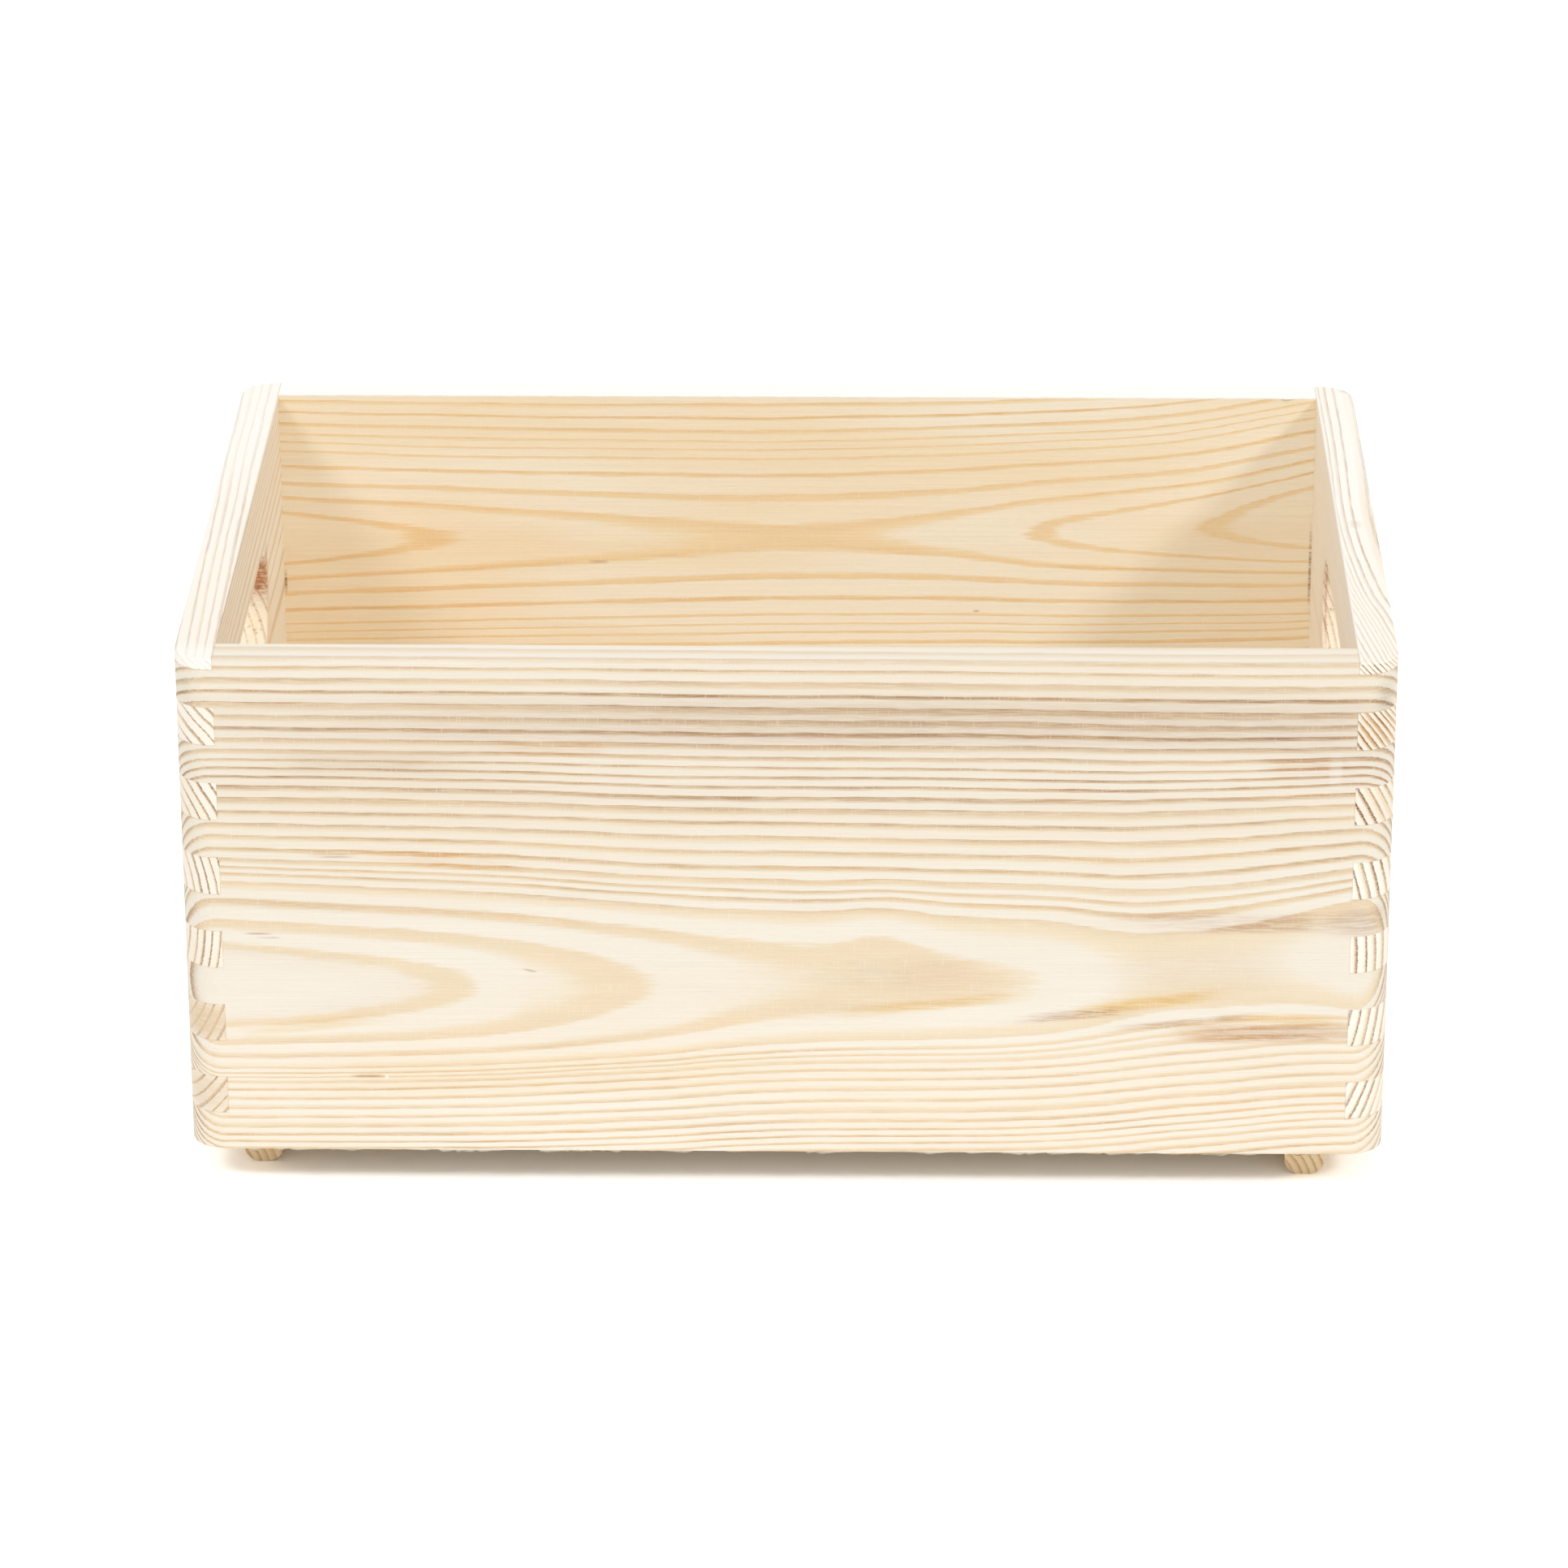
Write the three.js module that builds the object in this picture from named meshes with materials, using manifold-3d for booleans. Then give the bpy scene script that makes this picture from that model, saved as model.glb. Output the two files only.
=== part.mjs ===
// Apple crate: a small finger-jointed pine box, open at the top, for picking and stacking fruit.
// Millimetres, +Z up, +X along the length, front wall towards -Y, origin on the ground under
// the middle of the crate. Four boards meet in glued box joints, a plywood bottom sits captive
// in grooves, and two rails stapled under it carry the crate and drop inside the one below.

import * as THREE from "three";
import { mergeVertices } from "three/addons/utils/BufferGeometryUtils.js";
import Module from "manifold-3d";

// Driving dimensions.
const LENGTH = 300;
const DEPTH = 200;
const BOARD = 10;
const FINGER = 10;
const FINGER_COUNT = 13;
const TOP_FINGER = 3;
const CORNER_RADIUS = 9;
const PANEL_THICKNESS = 4;
const PANEL_RECESS = 5;
const GROOVE_DEPTH = 5;
const FIT_GAP = 0.3;
const RAIL_DROP = 11;
const RAIL_LENGTH = 174;
const RAIL_EDGE_RADIUS = 4;
const RAIL_END_CLEARANCE = 1;
const LEFT_RAIL_CENTRE = -133;
const RIGHT_RAIL_CENTRE = 131;
const RAIL_STAGGER = 4;
const HAND_HOLE_LENGTH = 86;
const HAND_HOLE_HEIGHT = 30;
const HAND_HOLE_BELOW_RIM = 24;
const STAPLES_PER_RAIL = 4;
const STAPLE_PITCH = 48;
const STAPLE_CROWN = 8;
const STAPLE_WIRE = 1;
const STAPLE_WIRE_WIDTH = 1.25;
const STAPLE_LEG = 14;
const STAPLE_POINT = 1.5;
const CUT_MARGIN = 1;
const ARC_SEGMENTS = 8;

// Derived dimensions.
const WALL_HEIGHT = TOP_FINGER + FINGER * FINGER_COUNT;
const WALL_BOTTOM = RAIL_DROP;
const RIM = WALL_BOTTOM + WALL_HEIGHT;
const HALF_LENGTH = LENGTH / 2;
const HALF_DEPTH = DEPTH / 2;
const INNER_X = HALF_LENGTH - BOARD;
const INNER_Y = HALF_DEPTH - BOARD;
const PANEL_BOTTOM = WALL_BOTTOM + PANEL_RECESS;
const PANEL_TOP = PANEL_BOTTOM + PANEL_THICKNESS;
const RAIL_HEIGHT = RAIL_DROP + PANEL_RECESS;
const RAIL_HALF_WIDTH = BOARD / 2;
const RAIL_FRONT = -INNER_Y + RAIL_END_CLEARANCE;
const HAND_HOLE_RADIUS = HAND_HOLE_HEIGHT / 2;
const HAND_HOLE_CENTRE = RIM - HAND_HOLE_BELOW_RIM - HAND_HOLE_RADIUS;
const STAPLE_LEG_OFFSET = (STAPLE_CROWN - STAPLE_WIRE) / 2;

const wasm = await Module();
wasm.setup();

// Turns a closed three.js geometry into a solid that can be cut.
function solidFrom(geometry) {
  geometry.deleteAttribute("normal");
  geometry.deleteAttribute("uv");
  const merged = mergeVertices(geometry);
  const vertProperties = Float32Array.from(merged.attributes.position.array);
  const triVerts = Uint32Array.from(merged.index.array);
  return new wasm.Manifold(new wasm.Mesh({ numProp: 3, vertProperties, triVerts }));
}

// Turns a cut solid back into a three.js geometry with flat facets.
function geometryFrom(solid) {
  const mesh = solid.getMesh();
  const geometry = new THREE.BufferGeometry();
  const positions = new THREE.BufferAttribute(Float32Array.from(mesh.vertProperties), mesh.numProp);
  geometry.setAttribute("position", positions);
  geometry.setIndex(new THREE.BufferAttribute(Uint32Array.from(mesh.triVerts), 1));
  geometry.computeVertexNormals();
  return geometry;
}

// A rectangular solid between two opposite corners.
function block(low, high) {
  const size = high.map((value, axis) => value - low[axis]);
  const geometry = new THREE.BoxGeometry(...size);
  geometry.translate(...high.map((value, axis) => (value + low[axis]) / 2));
  return solidFrom(geometry);
}

// Extrudes an outline drawn as (y, z) along +X.
function extrudeAlongX(shape, depth) {
  const geometry = new THREE.ExtrudeGeometry(shape, {
    depth,
    bevelEnabled: false,
    curveSegments: ARC_SEGMENTS,
  });
  const toYZ = new THREE.Matrix4().makeBasis(
    new THREE.Vector3(0, 1, 0),
    new THREE.Vector3(0, 0, 1),
    new THREE.Vector3(1, 0, 0),
  );
  geometry.applyMatrix4(toYZ);
  return geometry;
}

// Height range of one finger below the thin top one, counted downwards from 0.
function fingerRange(index) {
  const top = RIM - TOP_FINGER - FINGER * index;
  return { low: top - FINGER, high: top };
}

// Fingers alternate: even ones belong to the front and rear walls, odd ones to the end walls.
function fingerRanges(remainder) {
  const ranges = [];
  for (let index = remainder; index < FINGER_COUNT; index += 2) {
    ranges.push(fingerRange(index));
  }
  return ranges;
}

const LONG_WALL_FINGERS = fingerRanges(0);
const THIN_TOP_FINGER = { low: RIM - TOP_FINGER, high: RIM + CUT_MARGIN };
const END_WALL_FINGERS = [THIN_TOP_FINGER, ...fingerRanges(1)];

// The glued box is rounded on its four upright edges in one pass, across all fingers.
function roundedEnvelope() {
  const shape = new THREE.Shape();
  const arcX = HALF_LENGTH - CORNER_RADIUS;
  const arcY = HALF_DEPTH - CORNER_RADIUS;
  shape.moveTo(-arcX, -HALF_DEPTH);
  shape.lineTo(arcX, -HALF_DEPTH);
  shape.absarc(arcX, -arcY, CORNER_RADIUS, -Math.PI / 2, 0);
  shape.lineTo(HALF_LENGTH, arcY);
  shape.absarc(arcX, arcY, CORNER_RADIUS, 0, Math.PI / 2);
  shape.lineTo(-arcX, HALF_DEPTH);
  shape.absarc(-arcX, arcY, CORNER_RADIUS, Math.PI / 2, Math.PI);
  shape.lineTo(-HALF_LENGTH, -arcY);
  shape.absarc(-arcX, -arcY, CORNER_RADIUS, Math.PI, Math.PI * 1.5);
  const geometry = new THREE.ExtrudeGeometry(shape, {
    depth: WALL_HEIGHT + 2 * CUT_MARGIN,
    bevelEnabled: false,
    curveSegments: ARC_SEGMENTS,
  });
  geometry.translate(0, 0, WALL_BOTTOM - CUT_MARGIN);
  return solidFrom(geometry);
}

// Groove space for the bottom panel: the panel's edge plus a fit gap above and at its rim.
function panelGroove() {
  const reachX = INNER_X + GROOVE_DEPTH;
  const reachY = INNER_Y + GROOVE_DEPTH;
  return block([-reachX, -reachY, PANEL_BOTTOM], [reachX, reachY, PANEL_TOP + FIT_GAP]);
}

// Front (side = -1) or rear (side = +1) wall: a full-length board with sockets at both ends.
function longWall(side) {
  const yLow = side < 0 ? -HALF_DEPTH : INNER_Y;
  const yHigh = side < 0 ? -INNER_Y : HALF_DEPTH;
  let wall = block([-HALF_LENGTH, yLow, WALL_BOTTOM], [HALF_LENGTH, yHigh, RIM]);
  for (const end of [-1, 1]) {
    const xLow = end < 0 ? -HALF_LENGTH - CUT_MARGIN : INNER_X;
    const xHigh = end < 0 ? -INNER_X : HALF_LENGTH + CUT_MARGIN;
    for (const { low, high } of END_WALL_FINGERS) {
      const socket = block(
        [xLow, yLow - CUT_MARGIN, low],
        [xHigh, yHigh + CUT_MARGIN, high],
      );
      wall = wall.subtract(socket);
    }
  }
  return wall.subtract(panelGroove()).intersect(roundedEnvelope());
}

// Long rounded slot that the fingers go through to lift the crate.
function handHole() {
  const straight = HAND_HOLE_LENGTH / 2 - HAND_HOLE_RADIUS;
  const shape = new THREE.Shape();
  shape.absarc(straight, HAND_HOLE_CENTRE, HAND_HOLE_RADIUS, -Math.PI / 2, Math.PI / 2);
  shape.absarc(-straight, HAND_HOLE_CENTRE, HAND_HOLE_RADIUS, Math.PI / 2, Math.PI * 1.5);
  shape.closePath();
  const geometry = extrudeAlongX(shape, LENGTH + 2 * CUT_MARGIN);
  geometry.translate(-HALF_LENGTH - CUT_MARGIN, 0, 0);
  return solidFrom(geometry);
}

// Left (side = -1) or right (side = +1) end wall, with the hand hole.
function endWall(side) {
  const xLow = side < 0 ? -HALF_LENGTH : INNER_X;
  const xHigh = side < 0 ? -INNER_X : HALF_LENGTH;
  let wall = block([xLow, -HALF_DEPTH, WALL_BOTTOM], [xHigh, HALF_DEPTH, RIM]);
  for (const end of [-1, 1]) {
    const yLow = end < 0 ? -HALF_DEPTH - CUT_MARGIN : INNER_Y;
    const yHigh = end < 0 ? -INNER_Y : HALF_DEPTH + CUT_MARGIN;
    for (const { low, high } of LONG_WALL_FINGERS) {
      const socket = block(
        [xLow - CUT_MARGIN, yLow, low],
        [xHigh + CUT_MARGIN, yHigh, high],
      );
      wall = wall.subtract(socket);
    }
  }
  return wall.subtract(panelGroove()).subtract(handHole()).intersect(roundedEnvelope());
}

// Staple places along one rail, measured from the middle of the rail.
function staplePlaces() {
  const places = [];
  for (let index = 0; index < STAPLES_PER_RAIL; index += 1) {
    places.push((index - (STAPLES_PER_RAIL - 1) / 2) * STAPLE_PITCH);
  }
  return places;
}

// Clearance holes for the two legs of a staple centred on (x, y).
function stapleHoles(x, y, bottom, top) {
  const halfX = STAPLE_WIRE_WIDTH / 2 + FIT_GAP;
  const halfY = STAPLE_WIRE / 2 + FIT_GAP;
  return [-STAPLE_LEG_OFFSET, STAPLE_LEG_OFFSET].map((offset) => block(
    [x - halfX, y + offset - halfY, bottom],
    [x + halfX, y + offset + halfY, top],
  ));
}

const RAILS = [
  { side: "left", x: LEFT_RAIL_CENTRE, front: RAIL_FRONT + RAIL_STAGGER },
  { side: "right", x: RIGHT_RAIL_CENTRE, front: RAIL_FRONT },
];

// Plywood bottom with the staples' holes, its edges hidden in the wall grooves.
function bottomPanel() {
  const reachX = INNER_X + GROOVE_DEPTH - FIT_GAP;
  const reachY = INNER_Y + GROOVE_DEPTH - FIT_GAP;
  let panel = block([-reachX, -reachY, PANEL_BOTTOM], [reachX, reachY, PANEL_TOP]);
  for (const { x, front } of RAILS) {
    for (const place of staplePlaces()) {
      const y = front + RAIL_LENGTH / 2 + place;
      for (const hole of stapleHoles(x, y, PANEL_BOTTOM - CUT_MARGIN, PANEL_TOP + CUT_MARGIN)) {
        panel = panel.subtract(hole);
      }
    }
  }
  return panel;
}

// One rail about its own middle: a strip on edge with its two lower long edges rounded over.
function rail() {
  const shape = new THREE.Shape();
  const arcX = RAIL_HALF_WIDTH - RAIL_EDGE_RADIUS;
  shape.moveTo(-RAIL_HALF_WIDTH, RAIL_HEIGHT);
  shape.lineTo(-RAIL_HALF_WIDTH, RAIL_EDGE_RADIUS);
  shape.absarc(-arcX, RAIL_EDGE_RADIUS, RAIL_EDGE_RADIUS, Math.PI, Math.PI * 1.5);
  shape.absarc(arcX, RAIL_EDGE_RADIUS, RAIL_EDGE_RADIUS, -Math.PI / 2, 0);
  shape.lineTo(RAIL_HALF_WIDTH, RAIL_HEIGHT);
  shape.closePath();
  const geometry = new THREE.ExtrudeGeometry(shape, {
    depth: RAIL_LENGTH,
    bevelEnabled: false,
    curveSegments: ARC_SEGMENTS,
  });
  const toXZ = new THREE.Matrix4().makeBasis(
    new THREE.Vector3(1, 0, 0),
    new THREE.Vector3(0, 0, 1),
    new THREE.Vector3(0, -1, 0),
  );
  geometry.applyMatrix4(toXZ);
  geometry.translate(0, RAIL_LENGTH / 2, 0);
  let solid = solidFrom(geometry);
  const holeBottom = PANEL_TOP - STAPLE_LEG - FIT_GAP;
  for (const place of staplePlaces()) {
    for (const hole of stapleHoles(0, place, holeBottom, RAIL_HEIGHT + CUT_MARGIN)) {
      solid = solid.subtract(hole);
    }
  }
  return solid;
}

// One wire staple, crown resting on the panel (z = 0), legs running down to slanted points.
function stapleGeometry() {
  const outer = STAPLE_CROWN / 2;
  const inner = outer - STAPLE_WIRE;
  const blunt = -STAPLE_LEG + STAPLE_POINT;
  const shape = new THREE.Shape();
  shape.moveTo(-outer, STAPLE_WIRE);
  shape.lineTo(-outer, -STAPLE_LEG);
  shape.lineTo(-inner, blunt);
  shape.lineTo(-inner, 0);
  shape.lineTo(inner, 0);
  shape.lineTo(inner, blunt);
  shape.lineTo(outer, -STAPLE_LEG);
  shape.lineTo(outer, STAPLE_WIRE);
  shape.closePath();
  const geometry = extrudeAlongX(shape, STAPLE_WIRE_WIDTH);
  geometry.translate(-STAPLE_WIRE_WIDTH / 2, 0, 0);
  return geometry;
}

function material(color, roughness, metalness) {
  return new THREE.MeshStandardMaterial({ color, roughness, metalness });
}

// Adds one named piece to the crate.
function addPiece(group, name, geometry, look, position = [0, 0, 0]) {
  const mesh = new THREE.Mesh(geometry, look);
  mesh.name = name;
  mesh.position.set(...position);
  group.add(mesh);
}

function buildCrate() {
  const crate = new THREE.Group();
  crate.name = "apple_crate";
  addPiece(crate, "front_wall", geometryFrom(longWall(-1)), material(0xf0dcb8, 0.7, 0));
  addPiece(crate, "rear_wall", geometryFrom(longWall(1)), material(0xe9cda2, 0.7, 0));
  addPiece(crate, "left_end_wall", geometryFrom(endWall(-1)), material(0xeed9b4, 0.7, 0));
  addPiece(crate, "right_end_wall", geometryFrom(endWall(1)), material(0xedd6b0, 0.7, 0));
  addPiece(crate, "bottom_panel", geometryFrom(bottomPanel()), material(0xdcbf94, 0.75, 0));
  for (const { side, x, front } of RAILS) {
    const middle = front + RAIL_LENGTH / 2;
    addPiece(crate, `${side}_rail`, geometryFrom(rail()), material(0xd8b88a, 0.75, 0), [x, middle, 0]);
    staplePlaces().forEach((place, index) => {
      const name = `${side}_rail_staple_${index + 1}`;
      const look = material(0xb9bcc0, 0.35, 0.9);
      addPiece(crate, name, stapleGeometry(), look, [x, middle + place, PANEL_TOP]);
    });
  }
  return crate;
}

export default buildCrate();
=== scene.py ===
"""Looks of the wooden apple crate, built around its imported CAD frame. Metres, +Z up.

Each pine board is solid wood in its shader: growth rings are distances from that board's own pith
line, so its faces, rounded corners and end grain show one and the same tree. Lengths inside the
shaders and in the tables of boards and marks are millimetres in the crate's own frame.
"""

import math
import random
from dataclasses import dataclass, field

import bmesh
import bpy
from mathutils import Matrix, Vector


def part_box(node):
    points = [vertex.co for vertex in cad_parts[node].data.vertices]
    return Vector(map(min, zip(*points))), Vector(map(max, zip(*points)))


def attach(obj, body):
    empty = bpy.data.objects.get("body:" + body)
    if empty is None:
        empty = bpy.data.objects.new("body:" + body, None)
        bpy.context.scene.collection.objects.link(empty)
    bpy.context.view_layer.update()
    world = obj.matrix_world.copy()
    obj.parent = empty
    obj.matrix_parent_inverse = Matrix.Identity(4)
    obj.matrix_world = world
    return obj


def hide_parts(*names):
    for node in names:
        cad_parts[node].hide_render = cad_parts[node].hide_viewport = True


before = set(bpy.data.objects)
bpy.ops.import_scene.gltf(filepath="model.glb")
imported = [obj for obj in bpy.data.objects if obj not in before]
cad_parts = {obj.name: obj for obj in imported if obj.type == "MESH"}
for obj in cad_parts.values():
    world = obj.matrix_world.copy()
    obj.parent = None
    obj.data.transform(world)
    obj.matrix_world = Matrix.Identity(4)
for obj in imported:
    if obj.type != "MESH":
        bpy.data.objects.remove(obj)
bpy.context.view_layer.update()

MM = 0.001

# Camera: place in metres, angles in degrees, lens and sensor in millimetres.
CAMERA_PLACE = (0.0268, -1.6217, 0.7609)
CAMERA_TILT = 23.109
CAMERA_YAW = 1.020
CAMERA_ROLL = -0.146
CAMERA_LENS = 154.64
SENSOR_WIDTH = 36.0
CAMERA_CLIP = (0.05, 50)

# Light: strengths, where the two suns come from, and their softness in degrees.
SKY_STRENGTH = 0.735
KEY_STRENGTH = 0.79
KEY_FROM = (0.80, -0.70, 0.85)
KEY_SOFTNESS = 9
FILL_STRENGTH = 0.72
FILL_FROM = (-0.55, -0.60, 0.90)
FILL_SOFTNESS = 16
FLOOR_SIZE = 24.0
FLOOR_WHITE = (0.95, 0.95, 0.95)
# How much brighter the camera sees the floor than the floor lights the crate.
FLOOR_GLARE = 1.55

# Edges: widths of the rounding by place. The rim's width also serves every edge without its own.
WIDEST_EASE = 1.5 * MM
RIM_EASE = 0.45 * MM
HAND_HOLE_EASE = 0.7 * MM
JOINT_EASE = 0.13 * MM
RAIL_CHAMFER = 1.5 * MM
RAIL_UPRIGHT = 5 * MM
EASE_SEGMENTS = 2
SHARP_ANGLE = math.radians(30)
FLAT_ANGLE = math.radians(0.6)
WELD_DISTANCE = 1e-6
WIRE_EASE = 0.28 * MM
WIRE_SEGMENTS = 3
NORMAL_WEIGHT = 100

# Hand holes, as cut in the CAD.
HOLE_CENTRE = 105 * MM
HOLE_RADIUS = 15 * MM
HOLE_HALF_STRAIGHT = 28 * MM

# Torn fibres: slivers along the long walls' lower edges and in the ends of the hand holes.
CHANCE_SEED = 20
FIBRE_STEPS = 7
FIBRE_BEND = 1.6
FIBRE_TIP_STAND = 0.4
FIBRE_TIP_BREADTH = 0.12
FRONT_FRAYS = 84
REAR_FRAYS = 40
FRAY_REACH = 136 * MM
FRAY_LENGTH = (2.5 * MM, 14 * MM)
FRAY_DROP = (0.25 * MM, 1.05 * MM)
FRAY_INSET = (0.16, 0.30)
FRAY_START = 0.04 * MM
FRAY_STAND = 0.03 * MM
FRAY_ROOT = Vector((0, 0, 0.35 * MM))
FRAY_BREADTH = Vector((0, 0.13 * MM, 0))
HOLE_FIBRES = 60
HOLE_FIBRE = (0.3 * MM, 1.1 * MM)
HOLE_FIBRE_HEIGHTS = 0.85
HOLE_FIBRE_DEPTHS = (0.12, 0.88)
HOLE_FIBRE_START = 0.6 * MM
HOLE_FIBRE_TILT = (-0.3, 0.3)
HOLE_FIBRE_BREADTH = (0.15, 0.4)
HOLE_FIBRE_TWIST = (-0.1, 0.1)
HOLE_FIBRE_PEAK = Vector((0, 0, 0.25 * MM))
HOLE_FIBRE_ROOT = Vector((0, 0, -0.1 * MM))
# Start, end, how far it stands off, root and breadth of a splinter on the rear wall's inner rim.
RIM_SPLINTER = (
    Vector((137.8 * MM, 90.35 * MM, 143.72 * MM)),
    Vector((130.6 * MM, 90.10 * MM, 143.80 * MM)),
    Vector((0, -0.9 * MM, 0)),
    Vector((0, 0.30 * MM, -0.15 * MM)),
    Vector((0, 0.10 * MM, 0.16 * MM)),
)


def tone(red, green, blue):
    """Linear colour of an 8-bit display colour."""
    def linear(value):
        share = value / 255
        return share / 12.92 if share <= 0.04045 else ((share + 0.055) / 1.055) ** 2.4

    return (linear(red), linear(green), linear(blue), 1.0)


# ---------------------------------------------------------------------------------------------
# Shader building.

# An edge counts as worn as its rounded and its true normal part: unworn and fully worn cosines.
WEAR_SPAN = (0.995, 0.80)
WEAR_SAMPLES = 4
PLAIN_SPECULAR = 0.35


@dataclass
class Grain:
    """A noise: its sizes along three axes in millimetres, and its own seed."""

    sizes: tuple
    seed: float
    detail: float = 2.0
    roughness: float = 0.5
    distortion: float = 0.0


class Shader:
    """One node material. Every method adds a node and returns its output socket."""

    def __init__(self, name):
        self.material = bpy.data.materials.new(name)
        self.material.use_nodes = True
        self.tree = self.material.node_tree
        self.surface = self.tree.nodes["Principled BSDF"]

    def node(self, kind, **settings):
        made = self.tree.nodes.new(kind)
        for name, value in settings.items():
            setattr(made, name, value)
        return made

    def put(self, socket, value):
        if isinstance(value, bpy.types.NodeSocket):
            self.tree.links.new(value, socket)
        else:
            socket.default_value = value

    def math(self, operation, *values, clamp=False):
        made = self.node("ShaderNodeMath", operation=operation, use_clamp=clamp)
        for socket, value in zip(made.inputs, values):
            self.put(socket, value)
        return made.outputs[0]

    def add(self, *values):
        total = values[0]
        for value in values[1:]:
            total = self.math("ADD", total, value)
        return total

    def times(self, *values):
        total = values[0]
        for value in values[1:]:
            total = self.math("MULTIPLY", total, value)
        return total

    def less(self, first, second):
        return self.math("SUBTRACT", first, second)

    def square(self, value):
        return self.math("MULTIPLY", value, value)

    def bell(self, value, width):
        """1 where value is 0, falling away over width on both sides."""
        return self.math("EXPONENT", self.times(self.square(self.math("DIVIDE", value, width)), -1.0))

    def span(self, value, start, end, low=0.0, high=1.0, smooth=True):
        """low before start, high after end, and a smooth or straight step between them."""
        kind = "SMOOTHSTEP" if smooth else "LINEAR"
        made = self.node("ShaderNodeMapRange", interpolation_type=kind, clamp=True)
        for name, given in zip(("Value", "From Min", "From Max", "To Min", "To Max"),
                               (value, start, end, low, high)):
            self.put(made.inputs[name], given)
        return made.outputs["Result"]

    def curve(self, value, points):
        """A smooth curve through the given (input, output) points."""
        first, last = points[0][0], points[-1][0]
        low = min(y for _, y in points)
        rise = max(y for _, y in points) - low or 1.0
        places = [((x - first) / (last - first), (y - low) / rise) for x, y in points]
        made = self.node("ShaderNodeFloatCurve")
        line = made.mapping.curves[0]
        line.points[0].location = places[0]
        line.points[1].location = places[-1]
        for place in places[1:-1]:
            line.points.new(*place)
        made.mapping.update()
        self.put(made.inputs["Value"], self.span(value, first, last, smooth=False))
        return self.add(self.times(made.outputs["Value"], rise), low)

    def place(self):
        """Position in the crate's frame, in millimetres, as three sockets."""
        point = self.node("ShaderNodeTexCoord").outputs["Object"]
        scaled = self.node("ShaderNodeVectorMath", operation="SCALE")
        self.put(scaled.inputs[0], point)
        self.put(scaled.inputs["Scale"], 1 / MM)
        parts = self.node("ShaderNodeSeparateXYZ")
        self.put(parts.inputs[0], scaled.outputs[0])
        return parts.outputs[:3]

    def stretched(self, sizes, axes, seed):
        """A vector whose axes count grains of the given sizes, in millimetres."""
        made = self.node("ShaderNodeCombineXYZ")
        for socket, axis, size in zip(made.inputs, axes, sizes):
            self.put(socket, self.math("MULTIPLY_ADD", axis, 1 / size, seed))
        return made.outputs[0]

    def noise(self, grain, axes, seed=0.0):
        """Noise of one grain, from 0 to 1 and mostly near 0.5."""
        made = self.node("ShaderNodeTexNoise")
        self.put(made.inputs["Vector"], self.stretched(grain.sizes, axes, seed + grain.seed))
        made.inputs["Scale"].default_value = 1.0
        made.inputs["Detail"].default_value = grain.detail
        made.inputs["Roughness"].default_value = grain.roughness
        made.inputs["Distortion"].default_value = grain.distortion
        return made.outputs["Fac"]

    def wander(self, grain, axes, seed, reach):
        """Noise of one grain, from about -reach to reach."""
        return self.times(self.less(self.noise(grain, axes, seed), 0.5), 2 * reach)

    def chance(self, value, seed):
        """One random number from 0 to 1 for each whole value."""
        made = self.node("ShaderNodeTexWhiteNoise", noise_dimensions="1D")
        self.put(made.inputs["W"], self.add(value, seed))
        return made.outputs["Value"]

    def blend(self, share, first, second, kind="MIX"):
        made = self.node("ShaderNodeMix", data_type="RGBA", blend_type=kind, clamp_factor=True)
        self.put(made.inputs[0], share)
        self.put(made.inputs[6], first)
        self.put(made.inputs[7], second)
        return made.outputs[2]

    def blend_number(self, share, first, second):
        made = self.node("ShaderNodeMix", data_type="FLOAT", clamp_factor=True)
        self.put(made.inputs[0], share)
        self.put(made.inputs[2], first)
        self.put(made.inputs[3], second)
        return made.outputs[0]

    def shade(self, colour, amount):
        """colour times a grey amount."""
        made = self.node("ShaderNodeVectorMath", operation="SCALE")
        self.put(made.inputs[0], colour)
        self.put(made.inputs["Scale"], amount)
        return made.outputs[0]

    def worn_edge(self, radius):
        """0 on flat faces, rising to 1 along edges sharper than the given radius."""
        rounded = self.node("ShaderNodeBevel", samples=WEAR_SAMPLES)
        rounded.inputs["Radius"].default_value = radius * MM
        true = self.node("ShaderNodeNewGeometry").outputs["Normal"]
        match = self.node("ShaderNodeVectorMath", operation="DOT_PRODUCT")
        self.put(match.inputs[0], rounded.outputs[0])
        self.put(match.inputs[1], true)
        return self.span(match.outputs["Value"], *WEAR_SPAN)

    def relief(self, height, depth):
        """Uses height, 0 to 1, as a relief of that many millimetres."""
        made = self.node("ShaderNodeBump")
        made.inputs["Strength"].default_value = 1.0
        made.inputs["Distance"].default_value = depth * MM
        self.put(made.inputs["Height"], height)
        self.put(self.surface.inputs["Normal"], made.outputs[0])

    def finish(self, colour, roughness, specular=PLAIN_SPECULAR):
        self.put(self.surface.inputs["Base Color"], colour)
        self.put(self.surface.inputs["Roughness"], roughness)
        self.surface.inputs["Specular IOR Level"].default_value = specular
        return self.material


# ---------------------------------------------------------------------------------------------
# Pine.


@dataclass
class Mark:
    """A stain, scuff, torn spot or patch of painted shade: where it is along and up the board,
    and its half sizes.

    It darkens the wood by its colour, or covers the wood with it where pale is set. slope is its
    rise along the board, streaks is how far fibres break it up, and rings how far it keeps to the
    dense late wood. A mark lies on the skin of the face nearest the pith, unless inside gives its
    middle and half size in the board's depth.
    """

    along: float
    height: float
    length: float
    width: float
    colour: tuple
    strength: float
    slope: float = 0.0
    streaks: float = 0.5
    rings: float = 0.0
    inside: tuple = ()
    pale: bool = False


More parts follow.
